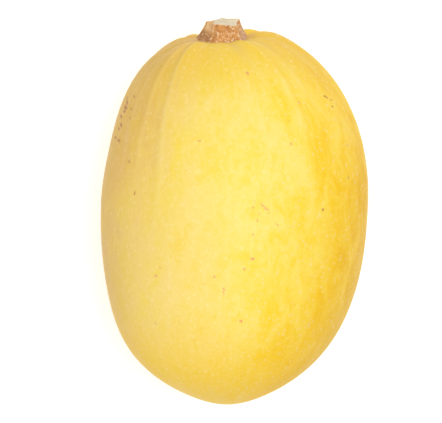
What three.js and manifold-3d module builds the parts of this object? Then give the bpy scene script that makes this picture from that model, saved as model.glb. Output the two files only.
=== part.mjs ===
// A spaghetti squash as picked, lying on its side, with the cut stub of its stalk.
//
// Millimetres, +Z up. The long axis runs along Y: the stalk end is at +Y and the blossom end
// at -Y. The squash rests on its ground spot, the flattened patch where it lay as it grew, and
// the origin is on that surface, under the middle of the whole.
//
// The fruit and the stalk are worked out in the fruit's own frame, whose origin is on the long
// axis at the widest place. The group moves both to the row's frame at the end.

import * as THREE from 'three';
import { mergeVertices } from 'three/addons/utils/BufferGeometryUtils.js';
import Module from 'manifold-3d';

const wasm = await Module();
wasm.setup();

// ---------------------------------------------------------------- driving dimensions, mm

const FRUIT = {
  radius: 69.3, // half of the greatest width
  blossomHalf: 103.4, // widest place to the blossom end
  blossomPower: 2.78, // how barrel-like that half is: 2 would be an ellipse
  stalkHalf: 92.4, // widest place to the stalk end
  stalkPower: 2.05,
};

const TIP = { height: 5.0, width: 24.3 }; // the blossom end runs out to a blunt point
const SCAR = { depth: 0.8, width: 4.0 }; // the small pit the flower left on the point
const DIMPLE = { depth: 8.2, width: 20.0 }; // the hollow that the stalk stands in
const SWAY = { first: 2.0, second: -8.4, third: -6.4, span: 100 }; // the long axis isn't straight
const SHOULDER_LEAN = 0.124; // the shoulder stands higher on the +X side
const LEAN_FOOT = { from: 9, to: 30 }; // but doesn't lean this close to the long axis

// Low ribs run down from the stalk and fade out by the middle of the fruit. Each has the angle
// it lies at, counted from straight up (+Z) towards +X, its height on the shoulder, and how many
// degrees lie between its crest and where it has died away.
const RIBS = [
  { angle: -50, rise: 1.0, wide: 9 },
  { angle: -31, rise: 1.2, wide: 8 },
  { angle: 0, rise: 0.4, wide: 12 },
  { angle: 33, rise: 1.0, wide: 9 },
  { angle: 62, rise: 0.8, wide: 10 },
  { angle: 85, rise: 2.2, wide: 10 },
  { angle: 108, rise: 2.3, wide: 10 },
  { angle: 140, rise: 2.9, wide: 10 },
  { angle: 180, rise: 1.5, wide: 12 },
  { angle: 220, rise: 2.0, wide: 11 },
  { angle: 245, rise: 1.2, wide: 9 },
  { angle: 270, rise: 0.3, wide: 10 },
];
const RIB_START = 0.92; // ribs are at full height here, as a share of the stalk half
const RIB_END = -0.15; // and gone here
const RIB_FOOT = { from: 9, to: 22 }; // ribs also die away this close to the long axis

const FLANK = { height: 0.55, wave: 78, crest: -6.6 }; // slow swells along the -X flank

const GROUND_SPOT_DEPTH = 1.7; // how far the resting patch is flattened

const FRUIT_TURN_STEPS = 96; // facets round the long axis
const FRUIT_RINGS = 40; // rings from the blossom end to the stalk end

// The stalk is a five-sided woody stub. Each corner has its angle, counted like the ribs, its
// distance from the stalk's middle at the cut, how far it stands above the cut's level, and how
// much further out it is at the skirt.
const STALK_CORNERS = [
  { angle: -29, reach: 9.7, peak: -0.3, flare: 5.4 },
  { angle: 40, reach: 11.0, peak: -1.3, flare: 6.4 },
  { angle: 124, reach: 10.2, peak: 1.0, flare: 6.6 },
  { angle: 183, reach: 9.5, peak: 0.5, flare: 5.4 },
  { angle: 241, reach: 10.2, peak: 0.1, flare: 6.5 },
];
const STALK = {
  middle: new THREE.Vector3(-6.1, 94.9, 0), // centre of the cut face, in the fruit's frame
  height: 10.2, // cut face down to the skirt's edge
  flarePower: 1.35,
  skirtBulge: 1.6, // how much the skirt fills out between two corners
  hollow: 0.09, // how far each side is dished, as a share of its distance from the middle
  sunk: 5.0, // the blank runs this far into the fruit before the seat is cut
  sideSteps: 10,
  rings: 12,
};
const SEAT_GAP = 0.3; // between the stalk's foot and the fruit

const RIND = new THREE.MeshStandardMaterial({ color: 0xf4d774, roughness: 0.42, metalness: 0 });
const CORK = new THREE.MeshStandardMaterial({ color: 0xc88f5c, roughness: 0.85, metalness: 0 });

// ---------------------------------------------------------------- small helpers

const radians = THREE.MathUtils.degToRad;
const bell = (x, width) => Math.exp(-((x / width) ** 2));

/** The direction at an angle counted from straight up towards +X. */
const outward = (turn) => new THREE.Vector3(Math.sin(turn), 0, Math.cos(turn));

/** The smallest difference between two angles in degrees. */
const apart = (a, b) => Math.abs(((((a - b) % 360) + 540) % 360) - 180);

/** A closed manifold solid from a vertex list and a triangle list. */
function solidFrom(points, triangles) {
  const geometry = new THREE.BufferGeometry().setFromPoints(points);
  geometry.setIndex(triangles.flat());
  const merged = mergeVertices(geometry, 1e-5);
  return new wasm.Manifold(
    new wasm.Mesh({
      numProp: 3,
      vertProperties: new Float32Array(merged.attributes.position.array),
      triVerts: new Uint32Array(merged.index.array),
    }),
  );
}

/** Rings of points, each ring anticlockwise seen from the last end, closed by two end points. */
function closedRings(first, rings, last) {
  const count = rings[0].length;
  const points = [first, ...rings.flat(), last];
  const at = (ring, step) => 1 + ring * count + (step % count);
  const triangles = [];
  for (let step = 0; step < count; step += 1) {
    triangles.push([0, at(0, step + 1), at(0, step)]);
    for (let ring = 0; ring + 1 < rings.length; ring += 1) {
      triangles.push([at(ring, step), at(ring + 1, step + 1), at(ring + 1, step)]);
      triangles.push([at(ring, step), at(ring, step + 1), at(ring + 1, step + 1)]);
    }
    const end = rings.length - 1;
    triangles.push([points.length - 1, at(end, step), at(end, step + 1)]);
  }
  return solidFrom(points, triangles);
}

/** A named three.js mesh of a manifold solid. */
function meshOf(solid, name, material) {
  const { vertProperties, triVerts } = solid.getMesh();
  const geometry = new THREE.BufferGeometry();
  geometry.setAttribute('position', new THREE.BufferAttribute(vertProperties, 3));
  geometry.setIndex(new THREE.BufferAttribute(triVerts, 1));
  geometry.computeVertexNormals();
  const mesh = new THREE.Mesh(geometry, material);
  mesh.name = name;
  return mesh;
}

// ---------------------------------------------------------------- fruit

/** How far the ribs and flank swells lift the skin at an angle and a share along the half. */
function skinLift(turn, along, share) {
  const degrees = THREE.MathUtils.radToDeg(turn);
  const strength = THREE.MathUtils.smoothstep(share, RIB_END, RIB_START) ** 1.5;
  const ribs = RIBS.reduce(
    (sum, rib) => sum + rib.rise * bell(apart(degrees, rib.angle), rib.wide),
    0,
  );
  const onFlank = Math.max(0, -Math.sin(turn)) ** 2;
  const swell = Math.cos((2 * Math.PI * (along - FLANK.crest)) / FLANK.wave);
  return strength * ribs + FLANK.height * onFlank * swell;
}

/** A point of the skin. slope runs from 0 at the blossom end to PI at the stalk end. */
function skinPoint(slope, turn) {
  const share = -Math.cos(slope);
  const stalkSide = share > 0;
  const half = stalkSide ? FRUIT.stalkHalf : FRUIT.blossomHalf;
  const power = stalkSide ? FRUIT.stalkPower : FRUIT.blossomPower;
  const radius = FRUIT.radius * Math.sqrt(Math.max(0, 1 - Math.abs(share) ** power));
  let along = half * share;
  const ribbed = THREE.MathUtils.smoothstep(radius, RIB_FOOT.from, RIB_FOOT.to);
  const lean = SHOULDER_LEAN * THREE.MathUtils.smoothstep(radius, LEAN_FOOT.from, LEAN_FOOT.to);
  const lift = skinLift(turn, along, share) * ribbed;
  if (stalkSide) {
    along -= DIMPLE.depth * bell(radius, DIMPLE.width);
  } else {
    along -= TIP.height * bell(radius, TIP.width);
    along += SCAR.depth * bell(radius, SCAR.width);
  }
  const point = outward(turn).multiplyScalar(radius + lift * Math.sin(slope));
  point.y = along + lift * share;
  const reach = point.y / SWAY.span;
  point.y += lean * point.x * Math.max(0, reach);
  point.x += SWAY.first * reach + SWAY.second * reach ** 2 + SWAY.third * reach ** 3;
  return point;
}

function makeFruit() {
  const rings = [];
  for (let ring = 1; ring < FRUIT_RINGS; ring += 1) {
    const slope = (Math.PI * ring) / FRUIT_RINGS;
    const points = [];
    for (let step = 0; step < FRUIT_TURN_STEPS; step += 1) {
      points.push(skinPoint(slope, (2 * Math.PI * step) / FRUIT_TURN_STEPS));
    }
    rings.push(points);
  }
  const whole = closedRings(skinPoint(0, 0), rings, skinPoint(Math.PI, 0));
  const lowest = whole.boundingBox().min[2];
  return whole.trimByPlane([0, 0, 1], lowest + GROUND_SPOT_DEPTH);
}

// ---------------------------------------------------------------- stalk

/** The cut face's outline, as points round the five corners: each has its place, its height
    above the cut's level and its flare. */
function stalkOutline() {
  const outline = [];
  STALK_CORNERS.forEach((corner, index) => {
    const next = STALK_CORNERS[(index + 1) % STALK_CORNERS.length];
    const from = outward(radians(corner.angle)).multiplyScalar(corner.reach);
    const to = outward(radians(next.angle)).multiplyScalar(next.reach);
    for (let step = 0; step < STALK.sideSteps; step += 1) {
      const share = step / STALK.sideSteps;
      const bow = Math.sin(Math.PI * share);
      outline.push({
        place: from.clone().lerp(to, share).multiplyScalar(1 - STALK.hollow * bow),
        peak: THREE.MathUtils.lerp(corner.peak, next.peak, share),
        flare: THREE.MathUtils.lerp(corner.flare, next.flare, share) + STALK.skirtBulge * bow,
      });
    }
  });
  return outline;
}

function makeStalk(fruit) {
  const outline = stalkOutline();
  const length = STALK.height + STALK.sunk;
  const rings = [];
  for (let ring = 0; ring <= STALK.rings; ring += 1) {
    const up = (length * ring) / STALK.rings;
    const spread = Math.min(1, (length - up) / STALK.height) ** STALK.flarePower;
    rings.push(
      outline.map(({ place, peak, flare }) => {
        const point = place.clone().setLength(place.length() + flare * spread).add(STALK.middle);
        point.y += up - length + peak * (up / length);
        return point;
      }),
    );
  }
  const foot = STALK.middle.clone().setY(STALK.middle.y - length);
  const blank = closedRings(foot, rings, STALK.middle);
  return blank.subtract(fruit.translate([0, SEAT_GAP, 0]));
}

// ---------------------------------------------------------------- assembly

const fruit = makeFruit();
const stalk = makeStalk(fruit);

const squash = new THREE.Group();
squash.add(meshOf(fruit, 'fruit', RIND), meshOf(stalk, 'stem', CORK));

const bounds = new THREE.Box3().setFromObject(squash);
const middle = bounds.getCenter(new THREE.Vector3());
squash.position.set(-middle.x, -middle.y, -bounds.min.z);

export default squash;
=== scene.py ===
# %% [markdown]
# # A spaghetti squash on a pale floor
#
# A ripe spaghetti squash is a smooth, barrel-shaped fruit with a waxy butter-yellow rind. At one
# end stands the cut stub of its stalk, woody and warty; at the other is the small scar that the
# flower left. It lies on its side here, on the flattened patch where it lay as it grew.
#
# The lesson goes in this order: load the frame that says where things are, place the camera,
# shape the fruit and the stalk, give both their finishes, and light them.

# %% Load the frame
import math
import random

import bpy
import numpy as np
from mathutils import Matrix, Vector, noise


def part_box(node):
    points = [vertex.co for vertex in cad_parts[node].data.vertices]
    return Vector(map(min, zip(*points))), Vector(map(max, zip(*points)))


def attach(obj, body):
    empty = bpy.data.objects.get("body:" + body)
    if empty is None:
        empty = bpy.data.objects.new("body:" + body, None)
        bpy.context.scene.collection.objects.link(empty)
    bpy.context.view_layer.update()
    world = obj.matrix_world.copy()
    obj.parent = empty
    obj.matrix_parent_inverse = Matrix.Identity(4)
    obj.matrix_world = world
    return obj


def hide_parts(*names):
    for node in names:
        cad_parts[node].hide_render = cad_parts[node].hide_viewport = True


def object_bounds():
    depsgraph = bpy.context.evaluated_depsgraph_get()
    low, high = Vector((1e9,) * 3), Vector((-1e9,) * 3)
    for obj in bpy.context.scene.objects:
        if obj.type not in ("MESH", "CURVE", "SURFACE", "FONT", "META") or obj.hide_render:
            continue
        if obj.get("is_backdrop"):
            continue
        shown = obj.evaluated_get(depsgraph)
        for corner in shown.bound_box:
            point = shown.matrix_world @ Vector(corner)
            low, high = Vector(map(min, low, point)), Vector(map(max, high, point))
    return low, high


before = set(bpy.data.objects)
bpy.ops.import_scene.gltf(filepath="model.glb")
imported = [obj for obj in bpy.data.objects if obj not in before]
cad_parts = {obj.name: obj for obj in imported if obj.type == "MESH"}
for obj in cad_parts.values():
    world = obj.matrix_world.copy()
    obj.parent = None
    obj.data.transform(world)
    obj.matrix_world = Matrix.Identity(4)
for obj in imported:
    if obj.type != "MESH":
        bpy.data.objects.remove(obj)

MM = 0.001  # the frame is in metres, and the sizes below are written in millimetres

cad_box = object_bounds()
fruit_low, fruit_high = (np.array(corner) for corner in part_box("fruit"))
stem_low, stem_high = (np.array(corner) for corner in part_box("stem"))
print("whole squash, mm:", np.round((np.array(cad_box[1]) - np.array(cad_box[0])) / MM, 1))

# %% [markdown]
# ## The outline of the fruit
#
# A squash has no edges for an extrude or a bevel to follow. What it has is growth: a barrel that
# is widest in the middle, a blunt point at the blossom end, a hollow round the stalk, and ribs
# that fade as they leave the shoulder. So its shape is a formula, worked out in the fruit's own
# frame, whose origin is the heart: the point on the long axis at the widest place. Angles round
# the axis are counted from straight up towards +X. The sizes are the ones that the frame's solids
# were made with, so the two fit.

# %% Driving dimensions of the fruit, in millimetres
RADIUS = 69.3
BLOSSOM_HALF, BLOSSOM_POWER = 103.4, 2.78
STALK_HALF, STALK_POWER = 92.4, 2.05
TIP_HEIGHT, TIP_WIDTH = 5.0, 24.3
SCAR_DEPTH, SCAR_WIDTH = 0.8, 4.0
DIMPLE_DEPTH, DIMPLE_WIDTH = 8.2, 20.0
SWAY = (2.0, -8.4, -6.4)  # sideways bow of the long axis, for each power of y / SWAY_SPAN
SWAY_SPAN = 100.0
SHOULDER_LEAN = 0.124
FLANK_HEIGHT, FLANK_WAVE, FLANK_CREST = 0.55, 78.0, -6.6

# Each broad rib has its angle in degrees, its height in mm and how many degrees wide it is.
RIBS = [
    (-50, 1.0, 9), (-31, 1.2, 8), (0, 0.4, 12), (33, 1.0, 9), (62, 0.8, 10), (85, 2.2, 10),
    (108, 2.3, 10), (140, 2.9, 10), (180, 1.5, 12), (220, 2.0, 11), (245, 1.2, 9), (270, 0.3, 10),
]
RIB_START, RIB_END = 0.92, -0.15  # full height and gone, as shares of the stalk half
RIB_FOOT, LEAN_FOOT = (9, 22), (9, 30)  # both also die away this close to the long axis, mm
HEART_SHIFT = 0.3  # the sway puts the heart this far from the middle of the fruit's box, mm
TOP_LIFT = 0.02  # and the ribs lift the very top by this much, mm

heart = Vector((
    (fruit_low[0] + fruit_high[0]) / 2 + HEART_SHIFT * MM,
    fruit_low[1] + (BLOSSOM_HALF + TIP_HEIGHT - SCAR_DEPTH) * MM,
    fruit_high[2] - (RADIUS + TOP_LIFT) * MM,
))
print("heart of the fruit, mm:", [round(c / MM, 1) for c in heart])

# %% [markdown]
# ## The camera
#
# The camera looks down on the squash from above its stalk end, so that the cut face of the stalk
# shows as a thin slanted patch. A short lens close by would swell the middle of the fruit, so a
# long one stands 0.9 m away and keeps the outline's true proportions. It is placed first, so that
# each piece can be judged in its view.

# %% Place the camera
CAMERA_DISTANCE = 0.900
CAMERA_LEAN = math.radians(12.15)  # from straight above towards the stalk end
VIEW_WIDTH = 0.2309  # what the view spans at the heart's distance
VIEW_CENTRE = (-7.2 * MM, -4.3 * MM)  # where the view's middle is, right and up of the heart

up_in_view = Vector((0, math.cos(CAMERA_LEAN), -math.sin(CAMERA_LEAN)))
towards_camera = Vector((0, math.sin(CAMERA_LEAN), math.cos(CAMERA_LEAN)))
bpy.ops.object.select_all(action="DESELECT")
bpy.ops.object.camera_add()
camera = bpy.context.object
camera.name = "studio_camera"
camera.data.sensor_width = 36.0
camera.data.lens = camera.data.sensor_width * CAMERA_DISTANCE / VIEW_WIDTH
camera.data.clip_start = 0.01
camera.location = (
    heart
    + towards_camera * CAMERA_DISTANCE
    + Vector((VIEW_CENTRE[0], 0, 0))
    + up_in_view * VIEW_CENTRE[1]
)
camera.rotation_euler = (-CAMERA_LEAN, 0, 0)
bpy.context.scene.camera = camera
print("lens, mm:", round(camera.data.lens, 1))

# %% [markdown]
# ## Shaping the fruit
#
# The fruit is one firm body with no edge anywhere. It could be spun from a profile, but a spun
# body has no ribs and looks turned on a lathe, or it could be sculpted from a rounded block, but
# then its sizes would drift from the frame's. So the mesh starts as a ball whose poles lie on the
# long axis, because its meridians run the way that the ribs and streaks of a squash run, and each
# of its points is moved to where the growth formula puts it. Broad ribs give the shoulder its
# lobes. Fine ridges, a third of a millimetre high, catch the light as thin lines, and slow lumps
# make the flanks a little uneven.

# %% Curves that the formula is made of


def bell(distance, width):
    return np.exp(-((distance / width) ** 2))


def smooth_step(value, low, high):
    share = np.clip((value - low) / (high - low), 0, 1)
    return share * share * (3 - 2 * share)


def apart(turn, degrees):
    """How many degrees lie between an angle in radians and one in degrees, the short way."""
    return np.abs((np.degrees(turn) - degrees + 180) % 360 - 180)


print("what a bell keeps of its height one width out:", round(float(bell(1, 1)), 3))

# %% Ribs, ridges and folds
FINE_RIDGES = [  # angle in degrees, height in mm, width in degrees, share where it has faded
    (-34, 0.30, 2.1, -0.2), (-47, 0.20, 2.3, 0.0), (-59, 0.12, 2.6, 0.1), (-18, 0.08, 2.4, 0.1),
    (9, 0.08, 2.6, 0.2), (34, 0.22, 2.2, -0.1), (44, 0.14, 2.2, 0.0), (60, 0.10, 2.6, 0.1),
]
BACK_RIDGES = range(82, 292, 11)  # degrees where the ridges of the lower side lie, more or less
FOLDS = [  # valleys that deepen at the stalk: angle in degrees and depth in mm
    (-44, 0.8), (-72, 0.9), (18, 0.45), (50, 0.4), (96, 0.9), (124, 0.9), (158, 0.9), (202, 0.9),
    (232, 0.9), (262, 0.9),
]
FOLD_PLACE, FOLD_REACH, FOLD_WIDTH = 24.0, 9.0, 5.0  # mm from the axis, mm and degrees
SCAR_GROOVE, SCAR_RIM, SCAR_RIM_WIDTH = 0.45, 5.2, 0.8  # the ring round the flower's scar, mm

dice = random.Random(11)
ridges = list(FINE_RIDGES)
for angle in BACK_RIDGES:
    ridges.append((angle + dice.uniform(-3, 3), dice.uniform(0.04, 0.2), 2.2, dice.uniform(-0.2, 0.2)))


def ribs_at(turn, share):
    strength = smooth_step(share, RIB_END, RIB_START) ** 1.5
    return strength * sum(rise * bell(apart(turn, at), wide) for at, rise, wide in RIBS)


def ridges_at(turn, share):
    return sum(
        rise * bell(apart(turn, at), wide) * smooth_step(share, fade, 0.75)
        for at, rise, wide, fade in ridges
    )


def folds_at(turn, share, radius):
    near_stalk = bell(radius - FOLD_PLACE, FOLD_REACH) * (share > 0)
    return near_stalk * sum(deep * bell(apart(turn, at), FOLD_WIDTH) for at, deep in FOLDS)


def flank_swells(turn, along):
    on_flank = np.maximum(0, -np.sin(turn)) ** 2
    return FLANK_HEIGHT * on_flank * np.cos(2 * np.pi * (along - FLANK_CREST) / FLANK_WAVE)


print("broad ribs:", len(RIBS), "fine ridges:", len(ridges), "folds:", len(FOLDS))

# %% The growth formula


def skin_points(slope, turn):
    """Points of the skin in mm, in the fruit's own frame. slope is 0 at the blossom end."""
    share = -np.cos(slope)
    stalk_side = share > 0
    half = np.where(stalk_side, STALK_HALF, BLOSSOM_HALF)
    power = np.where(stalk_side, STALK_POWER, BLOSSOM_POWER)
    radius = RADIUS * np.sqrt(np.maximum(0, 1 - np.abs(share) ** power))
    along = half * share
    lift = ribs_at(turn, share) + flank_swells(turn, along)
    lift = lift + ridges_at(turn, share) - folds_at(turn, share, radius)
    lift = lift * smooth_step(radius, *RIB_FOOT)
    hollow = DIMPLE_DEPTH * bell(radius, DIMPLE_WIDTH)
    point = TIP_HEIGHT * bell(radius, TIP_WIDTH) - SCAR_DEPTH * bell(radius, SCAR_WIDTH)
    point = point - SCAR_GROOVE * bell(radius - SCAR_RIM, SCAR_RIM_WIDTH)
    along = along - np.where(stalk_side, hollow, point)
    out = radius + lift * np.sin(slope)
    x, y, z = out * np.sin(turn), along + lift * share, out * np.cos(turn)
    reach = y / SWAY_SPAN
    y = y + SHOULDER_LEAN * smooth_step(radius, *LEAN_FOOT) * x * np.maximum(0, reach)
    x = x + SWAY[0] * reach + SWAY[1] * reach**2 + SWAY[2] * reach**3
    return np.stack([x, y, z], axis=-1)


top_of_barrel = skin_points(np.array(math.pi / 2), np.array(0.0))
print("skin straight above the heart, mm:", np.round(top_of_barrel, 2))

# %% Make the fruit
FRUIT_MERIDIANS, FRUIT_RINGS = 320, 200
RING_CROWDING = 0.3  # draws the rings together towards the two detailed ends
LUMP_SIZE, LUMP_HEIGHT = 34.0, 0.2  # slow unevenness of the flanks, mm

bpy.ops.object.select_all(action="DESELECT")
bpy.ops.mesh.primitive_uv_sphere_add(
    segments=FRUIT_MERIDIANS, ring_count=FRUIT_RINGS, radius=RADIUS * MM,
    location=heart, rotation=(math.radians(-90), 0, 0),
)
bpy.ops.object.transform_apply(location=True, rotation=True, scale=True)
fruit = bpy.context.object
fruit.name = "squash_fruit"
ball = np.empty(len(fruit.data.vertices) * 3)
fruit.data.vertices.foreach_get("co", ball)
ball = (ball.reshape(-1, 3) - np.array(heart)) / (RADIUS * MM)
slope = np.arccos(np.clip(-ball[:, 1], -1, 1))
slope = slope - RING_CROWDING * np.sin(2 * slope)
turn = np.arctan2(ball[:, 0], ball[:, 2])

skin = skin_points(slope, turn)
lumps = np.array([noise.noise(Vector(point / LUMP_SIZE)) for point in skin])
skin += ball * (LUMP_HEIGHT * lumps * np.sin(slope) ** 2)[:, None]
print("lumps from", round(LUMP_HEIGHT * lumps.min(), 2), "to", round(LUMP_HEIGHT * lumps.max(), 2), "mm")

# %% Settle it on its ground spot
GROUND_BLEND = 0.5  # mm over which the rind bends into the flat ground spot


def settle(height):
    """Presses what reaches below the ground flat onto it, with a soft bend at the edge."""
    bend = GROUND_BLEND / 2
    bent = (height + bend) ** 2 / (4 * bend)
    return np.where(np.abs(height) < bend, bent, np.maximum(height, 0))


skin += np.array(heart) / MM
skin[:, 2] = settle(skin[:, 2])
trimmed = np.clip(skin, fruit_low / MM, fruit_high / MM)  # where the lumps stand out past the frame
print("trimmed by at most, mm:", round(float(np.abs(skin - trimmed).max()), 3))
skin = trimmed
fruit.data.vertices.foreach_set("co", (skin * MM).ravel())
fruit.data.update()
bpy.ops.object.shade_smooth()
print("fruit box, mm:", np.round(skin.min(0), 2), np.round(skin.max(0), 2))
print("frame box, mm:", np.round(fruit_low / MM, 2), np.round(fruit_high / MM, 2))

# %% [markdown]
# Streaks and colour on a squash follow the way it grew, so each point also remembers where it
# would lie on a straight drum: its angle on the drum's rim, and its place along the axis. More
# numbers say where light and shade are painted: how far a point belongs to the painted
# highlight on a crest, to the line of painted shade beside it, to the painted shade in a fold
# and to the painted shade round the stalk's foot. One more says how far it belongs to the scar
# of the flower.

# %% Remember where each point grew
STALK_X = -6.1  # middle of the stalk, from the heart, mm

share = -np.cos(slope)
along = np.where(share > 0, STALK_HALF, BLOSSOM_HALF) * share
drum = np.stack([RADIUS * np.sin(turn), along, RADIUS * np.cos(turn)], axis=-1)
growth = fruit.data.attributes.new("growth", "FLOAT_VECTOR", "POINT")
growth.data.foreach_set("vector", drum.ravel())
print("drum the streaks are drawn on, mm:", np.round(drum.min(0), 1), np.round(drum.max(0), 1))

# The ball comes with a map of its meridians, and it keeps it.
fruit.data.uv_layers[0].name = "OFBake"

# %% Remember the painted highlight on crests, the painted shade beside them, in folds and round the stalk, and the scar
# Each crest line gets a painted highlight and, beside it, a line of painted shade.
CREST_LINES = [  # angle, width in degrees, share where it has faded, strength
    (-34, 1.3, -0.2, 1.0), (-47, 1.5, 0.0, 0.7), (-59, 1.6, 0.1, 0.5), (34, 1.4, 0.1, 0.5),
    (44, 1.3, 0.2, 0.35), (112, 2.0, 0.3, 0.8), (-98, 1.8, 0.3, 0.8),
]
SHADE_STEP = 3.2  # degrees from a crest's painted highlight to the line of painted shade on its outer side
STALK_SHADE_REACH = (14.5, 18.5)  # mm from the stalk's middle, where the painted shade round its foot starts to fade and ends


def lines_at(step, widen):
    return sum(
        much * bell(apart(turn, at + math.copysign(step, at)), wide * widen)
        * smooth_step(share, fade, 0.6)
        for at, wide, fade, much in CREST_LINES
    )


from_axis = np.hypot(skin[:, 0] - heart.x / MM, skin[:, 2] - heart.z / MM)
from_stalk = np.hypot(skin[:, 0] - heart.x / MM - STALK_X, skin[:, 2] - heart.z / MM)
# The first four are masks of painted light: the highlight on crests, and the shade beside them, in folds
# and round the stalk's foot.
for name, values in (
    ("crest", lines_at(0, 1)),
    ("shade", lines_at(SHADE_STEP, 1.3)),
    ("fold", folds_at(turn, share, from_axis)),
    ("collar", (1 - smooth_step(from_stalk, *STALK_SHADE_REACH)) * (share > 0)),
    ("scar", bell(from_axis, SCAR_WIDTH) * (share < 0)),
):
    fruit.data.attributes.new(name, "FLOAT", "POINT").data.foreach_set("value", values)
    print(name, "touches", int((values > 0.1).sum()), "of", len(values), "points")

# %% [markdown]
# ## Shaping the stalk
#
# The stalk of a squash is a five-sided woody plug that flares into the fruit. It could be a loft
# between two outlines, but an extrusion by rings is simpler and leaves an even net of faces that
# can carry warts. So a five-cornered plate is drawn at the foot, and it is drawn up ring by ring,
# each ring smaller than the last. The top is closed with smaller and smaller rings, so that it
# can be roughened like a cut. Subdivision rounds the whole, then the sides are dished, and the
# warts and fibres come last.

# %% Sizes of the stalk, in millimetres
STALK_CORNERS = [  # angle, reach at the cut, height above the cut's level, flare at the skirt
    (-29, 9.7, -0.3, 5.4), (40, 11.0, -1.3, 6.4), (124, 10.2, 1.0, 6.6), (183, 9.5, 0.5, 5.4),
    (241, 10.2, 0.1, 6.5),
]
CUT_Y = 94.9  # the cut's distance from the heart
STALK_REACH = 10  # the corners' mean reach, to which the rings are drawn before they get their own
STALK_HEIGHT, STALK_SUNK = 10.2, 1.6  # above the skirt's edge, and below it inside the fruit
STALK_FLARE, STALK_FLARE_POWER, STALK_HOLLOW, SKIRT_BULGE = 5.4, 1.35, 0.09, 1.6
SIDE_STEPS, STALK_RINGS, CUT_RINGS = 22, 16, 6

axis_x, axis_z = heart.x / MM + STALK_X, heart.z / MM
cut_y = heart.y / MM + CUT_Y
foot_y = cut_y - STALK_HEIGHT - STALK_SUNK


def flare_at(level):
    """How much wider than the cut the stalk is, at a height in mm."""
    down = np.clip((cut_y - level) / STALK_HEIGHT, 0, 1)
    return STALK_FLARE * down**STALK_FLARE_POWER


print("stalk from", round(foot_y, 1), "to", round(cut_y, 1), "mm along the long axis")

# %% Draw the five-cornered foot
bpy.ops.object.select_all(action="DESELECT")
bpy.ops.mesh.primitive_circle_add(
    vertices=len(STALK_CORNERS), radius=(STALK_REACH + STALK_FLARE) * MM, fill_type="NGON",
    location=(axis_x * MM, foot_y * MM, axis_z * MM), rotation=(math.radians(-90), 0, 0),
)
bpy.ops.object.transform_apply(location=True, rotation=True, scale=True)
stalk = bpy.context.object
stalk.name = "squash_stalk"


def around(point):
    return math.atan2(point.x / MM - axis_x, point.z / MM - axis_z)


corners = sorted(stalk.data.vertices, key=lambda v: around(v.co) % math.tau)
for vertex, (angle, reach, _, _) in zip(corners, sorted(STALK_CORNERS, key=lambda c: c[0] % 360)):
    across = Vector((math.sin(math.radians(angle)), 0, math.cos(math.radians(angle))))
    vertex.co = Vector((axis_x, foot_y, axis_z)) * MM + across * (reach + STALK_FLARE) * MM
print("corners of the foot:", len(corners))

# %% Raise the rings and close the cut
bpy.ops.object.mode_set(mode="EDIT")
bpy.ops.mesh.select_all(action="SELECT")
bpy.ops.mesh.subdivide(number_cuts=SIDE_STEPS - 1)
middle = Vector((axis_x, foot_y, axis_z)) * MM
level, width = foot_y, STALK_REACH + STALK_FLARE
for ring in range(STALK_RINGS):
    step = (STALK_HEIGHT + STALK_SUNK) / STALK_RINGS
    level += step
    slimmer = (STALK_REACH + float(flare_at(level))) / width
    width *= slimmer
    middle.y = level * MM
    bpy.ops.mesh.extrude_region_move(TRANSFORM_OT_translate={"value": (0, step * MM, 0)})
    bpy.ops.transform.resize(value=(slimmer, 1, slimmer), center_override=middle)
for ring in range(CUT_RINGS):
    left = CUT_RINGS - ring
    bpy.ops.mesh.extrude_region_move(TRANSFORM_OT_translate={"value": (0, 0, 0)})
    smaller = (left - 0.6) / (left + 0.4)  # even steps inwards, to a small hole that is merged shut
    bpy.ops.transform.resize(value=(smaller, 1, smaller), center_override=middle)
bpy.ops.mesh.merge(type="CENTER")
bpy.ops.mesh.select_all(action="SELECT")
bpy.ops.mesh.normals_make_consistent(inside=False)
bpy.ops.object.mode_set(mode="OBJECT")
smooth = stalk.modifiers.new("round_over", "SUBSURF")
smooth.levels = smooth.render_levels = 2
bpy.ops.object.modifier_apply(modifier=smooth.name)
print("stalk points:", len(stalk.data.vertices))

# %% [markdown]
# The corners of a real stalk are ridges of fibre, and the flesh between them shrinks as it
# dries, so each side ends up dished. The knife went through at a slant. Both could be done with
# proportional editing by hand. Here each point is moved by how far it lies along its side and
# how high it stands, because then the five sides can differ, as they do on a real one.

# %% Dish the sides and tilt the cut
CUT_ROUNDING = (0.6, 0.05)  # mm below the cut where a point starts to belong to it, and does
TILT_REACH = 8  # mm from the middle, where the cut's tilt is full

points = np.empty(len(stalk.data.vertices) * 3)
stalk.data.vertices.foreach_get("co", points)
points = points.reshape(-1, 3) / MM
x, y, z = points[:, 0] - axis_x, points[:, 1], points[:, 2] - axis_z
angle = np.degrees(np.arctan2(x, z))
reach = np.hypot(x, z)
closed = np.array(STALK_CORNERS + STALK_CORNERS[:1])
order, heights, flares = closed[:, 0] + [0, 0, 0, 0, 0, 360], closed[:, 2], closed[:, 3]
unrolled = (angle - order[0]) % 360 + order[0]
side = np.clip(np.searchsorted(order, unrolled, side="right") - 1, 0, 4)
along_side = (unrolled - order[side]) / (order[side + 1] - order[side])
dish = 1 - STALK_HOLLOW * np.sin(np.pi * along_side)
up = np.clip((y - foot_y) / (cut_y - foot_y), 0, 1)
on_cut = smooth_step(y, cut_y - CUT_ROUNDING[0], cut_y - CUT_ROUNDING[1])
tilt = heights[side] + (heights[side + 1] - heights[side]) * along_side
flare = flares[side] + (flares[side + 1] - flares[side]) * along_side
flare = flare - STALK_FLARE + SKIRT_BULGE * np.sin(np.pi * along_side)
down = np.clip((cut_y - y) / STALK_HEIGHT, 0, 1)
spread = 1 + flare * down**STALK_FLARE_POWER / np.maximum(reach, 1)
y = y + tilt * up**2 * np.clip(reach / TILT_REACH, 0, 1)
x, z = x * dish * spread, z * dish * spread
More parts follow.
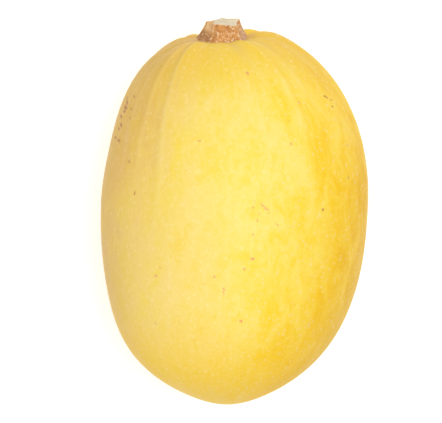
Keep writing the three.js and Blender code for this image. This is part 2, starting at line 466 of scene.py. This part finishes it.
print("dished by up to", round(float((reach * (1 - dish)).max()), 2), "mm")

# %% [markdown]
# Warts on a squash stalk are little domes of cork. They crowd towards the skirt and leave the
# cut bare. Under them the side is drawn into shallow fibres that run from foot to cut. A bump in
# the material alone would leave the outline smooth, so they are real relief: each wart lifts the
# points round a place that seeded dice pick.

# %% Warts, and the knobs of the skirt
WARTS, WART_SIZE, WART_RISE = 300, (0.26, 0.55), 0.6  # count, radii in mm, height per radius
WART_TOP, WART_CROWDING = 0.93, 1.25  # share of the side that has warts, and how they crowd down
SKIRT_KNOBS, KNOB_WIDTH, KNOB_TALL, KNOB_RISE = 26, 1.14, 1.3, (0.1, 0.7)  # count, the rest in mm
KNOB_LEVEL = 0.4  # mm above the skirt's edge

dice = random.Random(23)
surface = np.stack([x, y, z], axis=-1)
outward = np.stack([x, np.zeros_like(x), z], axis=-1)
outward /= np.maximum(np.linalg.norm(outward, axis=1), 1e-6)[:, None]
sides = (1 - on_cut)[:, None]

side_points = np.flatnonzero((on_cut < 0.2) & (y > foot_y + STALK_SUNK * 0.6))
by_height = sorted(side_points, key=lambda i: (y[i], i))
wart = np.zeros(len(x))
dome = np.zeros(len(x))
for _ in range(WARTS):
    pick = by_height[int(len(by_height) * WART_TOP * dice.random() ** WART_CROWDING)]
    size = dice.uniform(*WART_SIZE) * (0.7 + 0.3 * dice.random())
    near = np.linalg.norm(surface - surface[pick], axis=1) / size
    bump = np.maximum(0, 1 - near**2)
    dome = np.maximum(dome, bump * size * WART_RISE)
    wart = np.maximum(wart, np.clip(bump * 1.6, 0, 1))
for knob in range(SKIRT_KNOBS):
    at = math.tau * (knob + dice.uniform(-0.3, 0.3)) / SKIRT_KNOBS
    ahead = np.abs((np.arctan2(x, z) - at + np.pi) % math.tau - np.pi) * reach
    lump = bell(ahead, KNOB_WIDTH) * bell(y - foot_y - STALK_SUNK - KNOB_LEVEL, KNOB_TALL)
    dome = dome + lump * dice.uniform(*KNOB_RISE)
print("points lifted by warts:", int((wart > 0.1).sum()), "highest relief, mm:", round(dome.max(), 2))

# %% Fibres, corner grooves and the rough cut
FIBRE_DEPTH, FIBRE_SPACING, FIBRE_LENGTH = 0.16, 1.1, 7
GROOVED_CORNERS = (-29, 40, 124, 241)
GROOVE_STEP, GROOVE_WIDTH, GROOVE_DEPTH = 7, 4.5, 0.35  # degrees past the corner, degrees and mm
CUT_GRAIN, CUT_ROUGHNESS = 1.3, 0.28
PITH_WIDTH, PITH_DEPTH = 2.4, 0.25  # the soft middle of the cut has sunk

fibre = np.array([
    noise.noise(Vector((
        math.sin(bearing) * STALK_REACH / FIBRE_SPACING,
        height / FIBRE_LENGTH,
        math.cos(bearing) * STALK_REACH / FIBRE_SPACING,
    )))
    for bearing, height in zip(np.arctan2(x, z), y)
])
rough = np.array([
    noise.fractal(Vector((right / CUT_GRAIN, 0, above / CUT_GRAIN)), 0.6, 2.0, 4)
    for right, above in zip(x, z)
])
corner_groove = sum(
    bell(apart(np.radians(angle), corner + GROOVE_STEP), GROOVE_WIDTH) for corner in GROOVED_CORNERS
)
relief = dome + FIBRE_DEPTH * fibre - GROOVE_DEPTH * corner_groove * up
surface += outward * sides * relief[:, None]
surface[:, 1] += on_cut * (CUT_ROUGHNESS * rough - PITH_DEPTH * bell(reach, PITH_WIDTH))
print("cut's roughness, mm:", round(float(np.ptp(CUT_ROUGHNESS * rough[on_cut > 0.9])), 2))

# %% A lobe of the rim, broken off slantwise beside the cut so that cork shows on its top
BREAK_X, BREAK_EDGE, BREAK_DROP, BREAK_SLANT = -4.7, 0.5, 0.5, (4, 9)
PEAK_X, PEAK_Z, PEAK_WIDTH, PEAK_RISE = -0.5, -9.3, 2.0, 0.8  # a splinter on the far rim

broken = smooth_step(BREAK_X - surface[:, 0], 0.0, BREAK_EDGE) * on_cut
surface[:, 1] -= BREAK_DROP * broken * smooth_step(reach, *BREAK_SLANT)
peak = bell(surface[:, 0] - PEAK_X, PEAK_WIDTH) * bell(surface[:, 2] - PEAK_Z, PEAK_WIDTH)
surface[:, 1] += PEAK_RISE * peak * on_cut

placed = surface + np.array([axis_x, 0, axis_z])
print("trimmed off the splinter, mm:", round(max(0.0, placed[:, 1].max() - stem_high[1] / MM), 2))
placed[:, 1] = np.minimum(placed[:, 1], stem_high[1] / MM)
placed *= MM
stalk.data.vertices.foreach_set("co", placed.ravel())
stalk.data.update()
bpy.ops.object.shade_smooth()
# The mask of the corner grooves is painted shade.
for name, values in (
    ("wart", wart * (1 - on_cut)),
    ("cut", on_cut * (1 - broken)),
    ("groove", np.clip(corner_groove, 0, 1) * (1 - on_cut)),
    ("up", up),
):
    stalk.data.attributes.new(name, "FLOAT", "POINT").data.foreach_set("value", values)
print("stalk box, mm:", np.round(placed.min(0) / MM, 2), np.round(placed.max(0) / MM, 2))
print("frame box, mm:", np.round(stem_low / MM, 2), np.round(stem_high / MM, 2))

# %% [markdown]
# ## Small helpers for the finishes
#
# A finish is a net of nodes. It could be wired by hand in the node editor, but a net of two
# hundred nodes is easier to read and to change as a short text. Colours are written as sRGB hex,
# which is how a colour picker shows them, and one function turns them into the linear numbers
# that a shader works with. Another adds a node with all its settings and links.

# %% Helpers


def linear(hex_colour):
    """A colour written as sRGB hex, in the linear numbers that a shader works with."""
    parts = [int(hex_colour[i : i + 2], 16) / 255 for i in (1, 3, 5)]
    flat = [c / 12.92 if c <= 0.04045 else ((c + 0.055) / 1.055) ** 2.4 for c in parts]
    return (*flat, 1.0)


def add_node(tree, kind, inputs=None, **settings):
    """Adds one node with its settings. Each input gets a link, a hex colour or a value."""
    node = tree.nodes.new(kind)
    for name, setting in settings.items():
        setattr(node, name, setting)
    for name, value in (inputs or {}).items():
        if isinstance(value, bpy.types.NodeSocket):
            tree.links.new(value, node.inputs[name])
        else:
            plain = linear(value) if isinstance(value, str) else value
            node.inputs[name].default_value = plain
    return node


def new_material(name):
    material = bpy.data.materials.new(name)
    material.use_nodes = True
    tree = material.node_tree
    tree.nodes.clear()
    shader = add_node(tree, "ShaderNodeBsdfPrincipled")
    add_node(tree, "ShaderNodeOutputMaterial", {"Surface": shader.outputs[0]})
    return material, tree, shader


def set_stops(ramp, *stops):
    """Gives a colour ramp its stops, each a place from 0 to 1 and a hex colour."""
    elements = ramp.color_ramp.elements
    while len(elements) < len(stops):
        elements.new(0.5)
    for element, (place, hex_colour) in zip(elements, stops):
        element.position = place
        element.color = linear(hex_colour)
    return ramp.outputs["Color"]


print("butter yellow in linear numbers:", [round(part, 3) for part in linear("#F4DD7C")])

# %% Layers of colour


def lay(tree, under, over, amount, *limits):
    """Lays one colour over another. A limit is a mask, or a value and where it fades in."""
    mask = amount
    for limit in limits:
        if isinstance(limit, tuple):
            value, low, high = limit
            fade = add_node(
                tree, "ShaderNodeMapRange", {"Value": value, "From Min": low, "From Max": high},
                interpolation_type="SMOOTHSTEP",
            )
            limit = fade.outputs[0]
        step = add_node(tree, "ShaderNodeMath", {0: mask, 1: limit}, operation="MULTIPLY")
        mask = step.outputs[0]
    mix = add_node(tree, "ShaderNodeMix", {0: mask, 6: under, 7: over}, data_type="RGBA")
    return mix.outputs[2]


def flecks(tree, place, spacing, radius, softness, kept=1.0):
    """Round flecks in mm, about as far apart as the spacing. A share of them is kept."""
    cells = add_node(tree, "ShaderNodeTexVoronoi", {"Scale": 1 / (spacing * MM), "Vector": place})
    dots = add_node(
        tree, "ShaderNodeMapRange",
        {
            "Value": cells.outputs["Distance"],
            "From Min": radius / spacing,
            "From Max": radius * (1 - softness) / spacing,
        },
        interpolation_type="SMOOTHSTEP",
    )
    lot = add_node(tree, "ShaderNodeSeparateColor", {"Color": cells.outputs["Color"]})
    chosen = add_node(tree, "ShaderNodeMath", {0: lot.outputs[0], 1: kept}, operation="LESS_THAN")
    both = add_node(
        tree, "ShaderNodeMath", {0: dots.outputs[0], 1: chosen.outputs[0]}, operation="MULTIPLY",
    )
    return both.outputs[0]


print("helpers for a finish:", [helper.__name__ for helper in (add_node, set_stops, lay, flecks)])

# %% [markdown]
# ## The rind
#
# A ripe rind is a hard skin under a thin wax: a soft satin, never a mirror. Its yellow isn't one
# colour. One flank is pale butter and the other is deep gold. Between them paler and brighter
# patches run into each other, drawn out along the way the fruit grew. Over that lie pale pores,
# rings where pores have corked over, and a few marks from the field.
#
# Such a rind could be painted by hand onto a map. Noise and flecks are used, because they are as
# sharp from near as from far and need no picture. They read the drum's coordinates, so every
# patch and streak follows the growth, also where the fruit narrows.

# %% The rind's places and noises
rind, tree, shader = new_material("waxy_squash_rind")
place = add_node(tree, "ShaderNodeTexCoord").outputs["Object"]
grown = add_node(tree, "ShaderNodeAttribute", attribute_name="growth").outputs["Vector"]
drum_place = add_node(tree, "ShaderNodeSeparateXYZ", {"Vector": grown})
across, along = drum_place.outputs["X"], drum_place.outputs["Y"]  # mm from the heart


def grown_noise(width, length, distortion=0.0):
    """Noise drawn out along the way the fruit grew, by sizes in mm."""
    stretched = add_node(
        tree, "ShaderNodeMapping", {"Vector": grown, "Scale": (1 / width, 1 / length, 1 / width)},
    )
    pattern = add_node(
        tree, "ShaderNodeTexNoise",
        {"Vector": stretched.outputs[0], "Scale": 1.0, "Detail": 4.0, "Roughness": 0.6,
         "Distortion": distortion},
    )
    return pattern.outputs["Fac"]


patches = grown_noise(width=13, length=24, distortion=0.6)
spots = grown_noise(width=3.0, length=4.5, distortion=0.8)
grain = grown_noise(width=1.4, length=9)
print("rind nodes so far:", len(tree.nodes))

# %% Ground colour
# The gold reaches further over the fruit towards the blossom end, with a patchy border.
gathered = add_node(tree, "ShaderNodeCombineXYZ", {0: across, 1: along, 2: patches})
towards_gold = add_node(
    tree, "ShaderNodeVectorMath", {0: gathered.outputs[0], 1: (0.0072, -0.0016, 0.34)},
    operation="DOT_PRODUCT",
)
side = add_node(tree, "ShaderNodeMath", {0: towards_gold.outputs["Value"], 1: 0.33}).outputs[0]
pale = set_stops(
    add_node(tree, "ShaderNodeValToRGB", {"Fac": side}),
    (0.0, "#E7BC62"), (0.12, "#F0CF76"), (0.28, "#F3DA7C"), (0.5, "#F4DD7C"),
    (0.64, "#F5DD72"), (0.76, "#F7D95C"), (0.9, "#F8CE3C"), (1.0, "#F4C42E"),
)
bright = set_stops(
    add_node(tree, "ShaderNodeValToRGB", {"Fac": side}),
    (0.0, "#E4B84A"), (0.12, "#ECC956"), (0.28, "#F0D254"), (0.5, "#F1D54E"),
    (0.64, "#F3D444"), (0.76, "#F5CF2C"), (0.9, "#F5C30C"), (1.0, "#EFB908"),
)
gathered = add_node(tree, "ShaderNodeCombineXYZ", {0: patches, 1: spots, 2: grain})
# Broad patches and small spots together decide where the bright yellow breaks through.
mottle = add_node(
    tree, "ShaderNodeVectorMath", {0: gathered.outputs[0], 1: (0.50, 0.42, 0.08)},
    operation="DOT_PRODUCT",
)
colour = lay(tree, pale, bright, 1.0, (mottle.outputs["Value"], 0.35, 0.66))
print("rind nodes so far:", len(tree.nodes))

# %% [markdown]
# The ground colour changes slowly over the whole fruit: the shoulder turns gold towards the
# stalk, and the blossom end is the deepest gold of all. Painted shade darkens the outer flank,
# the sides of the shoulder, the folds and the skin round the stalk's foot, and a painted
# highlight runs along each crest. Each change is one thin layer, laid over what is there and
# limited by places in millimetres from the heart.

# %% Ends, flanks, folds and crests
crest, shade, fold, collar, scar = (
    add_node(tree, "ShaderNodeAttribute", attribute_name=name).outputs["Fac"]
    for name in ("crest", "shade", "fold", "collar", "scar")
)
# A peachy cast low on the pale side, then the golden shoulder.
colour = lay(tree, colour, "#F0CA88", 0.18, (across, 6, -14), (along, 40, -20), (along, -80, -55))
colour = lay(tree, colour, "#EFC236", 0.68, (along, 57, 86))
# Painted shade: darker, duller colour towards the outer pale flank and on the left side of
# the shoulder. The right side of the shoulder is laid darker and duller too, more weakly.
colour = lay(tree, colour, "#DDAE58", 0.35, (across, -48, -66), (along, 10, -30))
colour = lay(tree, colour, "#D2A862", 0.45, (along, 62, 82), (across, -36, -64))
colour = lay(tree, colour, "#E0B45C", 0.28, (along, 45, 78), (across, 42, 66))
# The deep gold of the blossom end.
colour = lay(tree, colour, "#F6C526", 0.70, (along, -33, -91))
# Painted shade in the folds, a painted highlight along each crest with a line of painted shade
# beside it, and painted shade on the skin round the stalk's foot.
colour = lay(tree, colour, "#D9AE74", 0.55, fold)
colour = lay(tree, colour, "#FBE6A0", 0.22, crest)
colour = lay(tree, colour, "#D6A44C", 0.14, shade)
colour = lay(tree, colour, "#D8A660", 0.50, collar)
print("rind nodes so far:", len(tree.nodes))

# %% [markdown]
# Every pore left a pale fleck, a quarter of a millimetre to a millimetre across. They show most
# towards the blossom end and on the golden flank. The smallest would not show at all, so none is
# drawn finer than half a millimetre. Voronoi cells give one fleck each, and noise pulls their
# coordinates about by a millimetre, so that no fleck comes out as a neat disc.

# %% Pores
unrest = add_node(tree, "ShaderNodeTexNoise", {"Vector": place, "Scale": 1 / (1.4 * MM), "Detail": 3.0})
pull = add_node(
    tree, "ShaderNodeVectorMath", {0: unrest.outputs["Color"], 1: (0.5,) * 3}, operation="SUBTRACT",
)
ragged = add_node(
    tree, "ShaderNodeVectorMath", {0: pull.outputs[0], 1: (2.6 * MM,) * 3, 2: place},
    operation="MULTIPLY_ADD",
).outputs[0]
crowding = add_node(
    tree, "ShaderNodeTexNoise", {"Vector": place, "Scale": 1 / (16 * MM), "Detail": 2.0},
).outputs["Fac"]

pores = flecks(tree, ragged, spacing=3.0, radius=1.1, softness=0.95, kept=0.8)
fine_pores = flecks(tree, ragged, spacing=1.9, radius=0.65, softness=0.95)
colour = lay(tree, colour, "#F9E8B4", 0.30, pores)
colour = lay(tree, colour, "#F9E8B4", 0.22, fine_pores, (crowding, 0.40, 0.60))
colour = lay(tree, colour, "#F4D286", 0.50, pores, (side, 0.52, 0.76), (crowding, 0.34, 0.52))
colour = lay(tree, colour, "#F6DA8C", 0.60, fine_pores, (along, 15, -45), (crowding, 0.64, 0.40))
print("rind nodes so far:", len(tree.nodes))

# %% Corked rings, pale with a reddish heart, and reddish specks
rings = flecks(tree, ragged, spacing=6.6, radius=1.2, softness=0.7, kept=0.7)
ring_hearts = flecks(tree, ragged, spacing=6.6, radius=0.6, softness=0.8, kept=0.7)
specks = flecks(tree, ragged, spacing=4.2, radius=0.45, softness=0.7, kept=0.5)
colour = lay(tree, colour, "#F8E0A0", 0.55, rings, (side, 0.60, 0.80), (along, 62, 40))
colour = lay(tree, colour, "#DBA470", 0.65, ring_hearts, (side, 0.60, 0.80), (along, 62, 40))
colour = lay(tree, colour, "#DE9A5C", 0.55, specks)
print("rind nodes so far:", len(tree.nodes))

# %% [markdown]
# The marks of the field are few and each is somewhere of its own, so they are listed one by one:
# a healed scrape on each shoulder, some brown nicks, and small red spots on the front. A mark runs
# from one place to another, and each place is an angle round the fruit and a distance along it
# from the heart. The last number is how wide the mark is to each side.

# %% Where the marks are
SCRATCHES = [  # angle and place where it starts, the same where it ends, half its width in mm
    (-79, 61, -76, 60.5, 0.5), (-75, 59.5, -71.5, 58.5, 0.65), (-74.5, 57, -70, 56.5, 0.8),
    (-73.5, 55, -71, 54.5, 0.6), (-76.5, 52, -73.5, 51.5, 0.6), (-72, 48.5, -69, 47.5, 0.7),
    (-74, 46, -71, 45.5, 0.45), (-76, 41, -73, 40.5, 0.5), (-69.5, 40.5, -66.5, 40, 0.6),
    (-67, 63, -65.5, 62.5, 0.4), (-64.5, 57, -63, 56.5, 0.4), (-62, 53, -61.5, 52.5, 0.35),
    (-54, 32, -53, 31, 0.45),
    (-47, 16, -47, 15.5, 0.6), (-60, 40, -60, 39, 0.35), (58, 57, 60, 56, 0.5),
    (62, 55, 63, 54.5, 0.3), (60, 52, 61, 51.5, 0.3), (56, 20, 56, 19.5, 0.5), (38, 8, 38, 7.5, 0.5),
]
RED_MARKS = [
    (15, 73, 15, 72.5, 0.65), (26, 40, 26, 39.5, 0.45), (9.6, 13.8, 13, 10.5, 0.35),
    (6.9, -13, 7.5, -13.2, 0.6), (7, -1, 7, -1.5, 0.35), (-4, -28, -4, -31, 0.28),
    (-34.5, -25, -33.5, -24.5, 0.5), (4, -45, 4, -45.5, 0.65), (-8, -22, -8, -22.5, 0.4),
    (-36, -50, -35.5, -50.5, 0.4), (-16, 44, -15, 44, 0.3), (60, 34, 60, 33.5, 0.35),
    (38, 57, 38, 56.5, 0.4), (-32, -20, -31.5, -20.5, 0.3), (4, -18, 4, -18.5, 0.35),
    (7.6, 15, 7.6, 14.7, 0.35), (6.9, 12, 7.2, 11.8, 0.35), (9.4, 9.2, 9.4, 9, 0.3),
    (13.2, 9.2, 13.4, 9, 0.3), (8.5, 5.8, 8.5, 5.4, 0.4), (16.7, 3.3, 16.7, 3, 0.4),
]
print("marks:", len(SCRATCHES), "brown and", len(RED_MARKS), "red")

# %% Draw the marks
MARK_FADE = (2.2, 0.1)  # where a mark starts to show and where it is full, in half widths


def on_skin(degrees, reach):
    """Where on the fruit an angle and a distance from the heart lie, in metres."""
    half = STALK_HALF if reach > 0 else BLOSSOM_HALF
    at = skin_points(np.array(math.acos(-reach / half)), np.array(math.radians(degrees)))
    return Vector(at) * MM + heart


def drawn_marks(marks):
    """One mask for a list of marks, by how far a point is from the nearest mark's line."""
    mask = 0.0
    for turn_a, along_a, turn_b, along_b, half_width in marks:
        start, end = on_skin(turn_a, along_a), on_skin(turn_b, along_b)
        line = end - start
        offset = add_node(
            tree, "ShaderNodeVectorMath", {0: ragged, 1: start}, operation="SUBTRACT",
        )
        travelled = add_node(
            tree, "ShaderNodeVectorMath", {0: offset.outputs[0], 1: line / line.length_squared},
            operation="DOT_PRODUCT",
        )
        share_along = add_node(tree, "ShaderNodeClamp", {"Value": travelled.outputs["Value"]})
        on_line = add_node(
            tree, "ShaderNodeVectorMath", {0: line, "Scale": share_along.outputs[0]},
            operation="SCALE",
        )
        away = add_node(
            tree, "ShaderNodeVectorMath", {0: offset.outputs[0], 1: on_line.outputs[0]},
            operation="DISTANCE",
        )
        edge = add_node(
            tree, "ShaderNodeMapRange",
            {"Value": away.outputs["Value"], "From Min": half_width * MARK_FADE[0] * MM,
             "From Max": half_width * MARK_FADE[1] * MM},
            interpolation_type="SMOOTHSTEP",
        )
        both = add_node(tree, "ShaderNodeMath", {0: mask, 1: edge.outputs[0]}, operation="MAXIMUM")
        mask = both.outputs[0]
    return mask


scratches, red_marks = drawn_marks(SCRATCHES), drawn_marks(RED_MARKS)
broken_up = (unrest.outputs["Fac"], 0.36, 0.52)  # a healed scratch is crumbs of cork, not a line
colour = lay(tree, colour, "#F2C394", 0.35, (red_marks, 0.0, 0.4))
colour = lay(tree, colour, "#E08C54", 0.62, (red_marks, 0.3, 0.8))
colour = lay(tree, colour, "#CF9252", 0.50, (scratches, 0.0, 0.5))
colour = lay(tree, colour, "#A2541E", 0.80, (scratches, 0.4, 1.0), broken_up)
print("rind nodes so far:", len(tree.nodes))

# %% [markdown]
# Where the flower fell off, a squash keeps a small corky disc: brown crumbs on a straw-coloured
# ring. Where it lay on the ground, the rind stayed paler. Both edges are patchy on a real fruit,
# so noise is added to the mask before it is cut off at a level.

# %% Scar and ground spot
ground_height = add_node(tree, "ShaderNodeSeparateXYZ", {"Vector": ragged}).outputs["Z"]
colour = lay(tree, colour, "#E9CF98", 0.60, (ground_height, 9 * MM, 1 * MM), (patches, 0.25, 0.6))
gathered = add_node(tree, "ShaderNodeCombineXYZ", {0: scar, 1: spots, 2: unrest.outputs["Fac"]})
crusty = add_node(
    tree, "ShaderNodeVectorMath", {0: gathered.outputs[0], 1: (1.0, 0.5, 0.7)},
    operation="DOT_PRODUCT",
).outputs["Value"]
colour = lay(tree, colour, "#D9B878", 0.55, (scar, 0.05, 0.30))
colour = lay(tree, colour, "#A98358", 0.85, (crusty, 0.98, 1.16))
colour = lay(tree, colour, "#7F5A38", 0.70, (crusty, 1.36, 1.52))
print("rind nodes so far:", len(tree.nodes))

# %% [markdown]
# The rind's relief is finer than the mesh: a tenth of a millimetre of grain, with the pores as
# dots in it, so bump is enough. Typical roughness for a waxed fruit skin is 0.4 to 0.6, and it
# varies with the patches, which gives the broad highlight a soft, uneven edge. Plant wax has an
# IOR near 1.45. This wax film is thin and has a bloom, so its mirror part is weaker than usual.

# %% Relief and gloss
gathered = add_node(tree, "ShaderNodeCombineXYZ", {0: spots, 1: pores, 2: grain})
relief = add_node(
    tree, "ShaderNodeVectorMath", {0: gathered.outputs[0], 1: (0.5, -0.2, 0.3)},
    operation="DOT_PRODUCT",
)
bump = add_node(
    tree, "ShaderNodeBump",
    {"Height": relief.outputs["Value"], "Strength": 0.3, "Distance": 0.1 * MM},
)
gloss = add_node(
    tree, "ShaderNodeMapRange",
    {"Value": patches, "From Min": 0.3, "From Max": 0.7, "To Min": 0.48, "To Max": 0.6},
)
tree.links.new(colour, shader.inputs["Base Color"])
tree.links.new(gloss.outputs[0], shader.inputs["Roughness"])
tree.links.new(bump.outputs[0], shader.inputs["Normal"])
shader.inputs["IOR"].default_value = 1.45
shader.inputs["Specular IOR Level"].default_value = 0.22

fruit.data.materials.append(rind)
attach(fruit, "root")
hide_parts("fruit")
print("rind nodes:", len(tree.nodes))

# %% [markdown]
# ## The stalk's cork
#
# A dried squash stalk is cork over wood, and it is left as it grew and dried: orange-tan, with
# painted shade darkening its grooves, and cream warts where the cork has cracked open. The cut
# shows pale, greyish end grain. Nothing on it shines, so it is rough all over, with the roughness
# of raw cork, 0.85.
#
# The warts, the grooves and the cut were modelled, and each left an attribute behind. The colours
# follow these, so that they fit the relief exactly, which a painted map would not.

# %% Dried stalk
cork, tree, shader = new_material("dry_squash_stalk")
place = add_node(tree, "ShaderNodeTexCoord").outputs["Object"]
sideways = add_node(tree, "ShaderNodeSeparateXYZ", {"Vector": place}).outputs["X"]
wart, cut, groove, height = (
    add_node(tree, "ShaderNodeAttribute", attribute_name=name).outputs["Fac"]
    for name in ("wart", "cut", "groove", "up")
)
FIBRE = (1.2 * MM, 6 * MM, 1.2 * MM)  # how wide and long a bundle of fibres is
fibre_place = add_node(
    tree, "ShaderNodeMapping", {"Vector": place, "Scale": tuple(1 / size for size in FIBRE)},
)
fibres = add_node(
    tree, "ShaderNodeTexNoise",
    {"Vector": fibre_place.outputs[0], "Scale": 1.0, "Detail": 5.0, "Roughness": 0.65},
).outputs["Fac"]
stains = add_node(
    tree, "ShaderNodeTexNoise", {"Vector": place, "Scale": 1 / (5 * MM), "Detail": 3.0},
).outputs["Fac"]
end_grain = add_node(
    tree, "ShaderNodeTexNoise",
    {"Vector": place, "Scale": 1 / (0.9 * MM), "Detail": 4.0, "Roughness": 0.7},
).outputs["Fac"]
crust = flecks(tree, place, spacing=1.15, radius=0.34, softness=0.5, kept=0.6)
print("cork nodes so far:", len(tree.nodes))

# %% The cork's colours
colour = set_stops(
    add_node(tree, "ShaderNodeValToRGB", {"Fac": fibres}),
    (0.28, "#B47342"), (0.45, "#CB8C50"), (0.6, "#D69F60"), (0.75, "#E2B47C"),
)
left_face = (sideways, (axis_x - 3) * MM, (axis_x - 8) * MM)
right_face = (sideways, (axis_x + 7) * MM, (axis_x + 10) * MM)
colour = lay(tree, colour, "#B0713E", 0.50, (stains, 0.50, 0.70))
# The left face is brown below and bleached above, and the right face has weathered to grey.
colour = lay(tree, colour, "#9C6430", 0.50, left_face, (height, 0.70, 0.35))
colour = lay(tree, colour, "#FACB90", 0.90, left_face, (height, 0.50, 0.75))
colour = lay(tree, colour, "#C9A78E", 0.50, right_face)
# Painted shade in the grooves, a pale skirt where the cork meets the rind, and cream crust and warts.
colour = lay(tree, colour, "#8A5A34", 0.40, groove)
colour = lay(tree, colour, "#E8C49C", 0.60, (height, 0.26, 0.17), (fibres, 0.4, 0.6))
colour = lay(tree, colour, "#F0DDB8", 0.75, crust, (height, 0.85, 0.50))
colour = lay(tree, colour, "#F1DDB6", 0.80, wart)
wood = set_stops(
    add_node(tree, "ShaderNodeValToRGB", {"Fac": end_grain}),
    (0.3, "#D6C4A2"), (0.55, "#EADBBE"), (0.75, "#F5EAD2"),
)
colour = lay(tree, colour, wood, 1.0, cut)

# %% The cork's grain
bump = add_node(
    tree, "ShaderNodeBump", {"Height": fibres, "Strength": 0.6, "Distance": 0.25 * MM},
)
tree.links.new(colour, shader.inputs["Base Color"])
tree.links.new(bump.outputs[0], shader.inputs["Normal"])
shader.inputs["Roughness"].default_value = 0.85
shader.inputs["Specular IOR Level"].default_value = 0.25

stalk.data.materials.append(cork)
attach(stalk, "root")
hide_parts("stem")
print("cork nodes:", len(tree.nodes))

# %% [markdown]
# ## Floor and light
#
# Produce is often shown on a light table: a broad sheet of opal acrylic, softly lit from below,
# which takes nearly all of the shadow away. A plain white floor with more lamps would do too, but
# it leaves a grey pool under the fruit. The sheet is matt, so it mirrors nothing, and it glows
# only weakly.
#
# White air is all round. A large softbox stands above, and a weaker one low on the left. Large
# lights keep the shade on the fruit soft. Where the camera looks straight at the air, it sees it
# as bright as the far end of the sheet, so that no horizon line shows.

# %% Floor
FLOOR_SIZE = 24  # metres, so that its edge is never in view

bpy.ops.object.select_all(action="DESELECT")
bpy.ops.mesh.primitive_plane_add(size=FLOOR_SIZE, location=(0, 0, 0))
floor = bpy.context.object
floor.name = "pale_floor"
floor_sheet, tree, shader = new_material("opal_acrylic_light_table")
shader.inputs["Base Color"].default_value = linear("#F7F7F6")
shader.inputs["Roughness"].default_value = 0.9
shader.inputs["Emission Color"].default_value = (1, 1, 1, 1)
shader.inputs["Emission Strength"].default_value = 0.32
floor.data.materials.append(floor_sheet)
floor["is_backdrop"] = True
print("floor, m:", tuple(floor.dimensions))

# %% Light
world = bpy.data.worlds.new("white_studio")
bpy.context.scene.world = world
world.use_nodes = True
AIR_STRENGTH, FAR_FLOOR = 0.31, 0.61  # the air's light, and how bright the floor is far away

air = world.node_tree.nodes["Background"]
seen = add_node(world.node_tree, "ShaderNodeLightPath").outputs["Is Camera Ray"]
glow = add_node(
    world.node_tree, "ShaderNodeMapRange",
    {"Value": seen, "To Min": AIR_STRENGTH, "To Max": FAR_FLOOR},
)
air.inputs["Color"].default_value = (1, 1, 1, 1)
world.node_tree.links.new(glow.outputs[0], air.inputs["Strength"])


def add_softbox(name, place, size, power):
    """A round softbox that faces the heart: its place from there and its size in m, and watts."""
    bpy.ops.object.select_all(action="DESELECT")
    bpy.ops.object.light_add(type="AREA", location=heart + Vector(place))
    lamp = bpy.context.object
    lamp.name = name
    lamp.data.shape = "DISK"
    lamp.data.size = size
    lamp.data.energy = power
    lamp.rotation_euler = Vector(place).to_track_quat("Z", "Y").to_euler()
    lamp.visible_camera = False
    return lamp


for lamp in (
    add_softbox("key_softbox", place=(0.22, 0.42, 1.56), size=1.1, power=22),
    add_softbox("fill_softbox", place=(-0.75, -1.15, 0.85), size=1.2, power=6),
):
    print(lamp.name, "stands", round((lamp.location - heart).length, 2), "m from the heart")
bpy.context.scene.view_settings.view_transform = "Standard"

# %% [markdown]
# ## Finish
#
# The frame's box and the finished squash's box are put side by side and printed. The rind and the
# stalk have more detail than the frame's solids, but they may not stand out past them.

sizes = {"cad": cad_box, "visual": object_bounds()}
for name, box in sizes.items():
    sizes[name] = [[float(value) for value in corner] for corner in box]
    print(name, "box, mm:", [[round(value / MM, 2) for value in corner] for corner in sizes[name]])
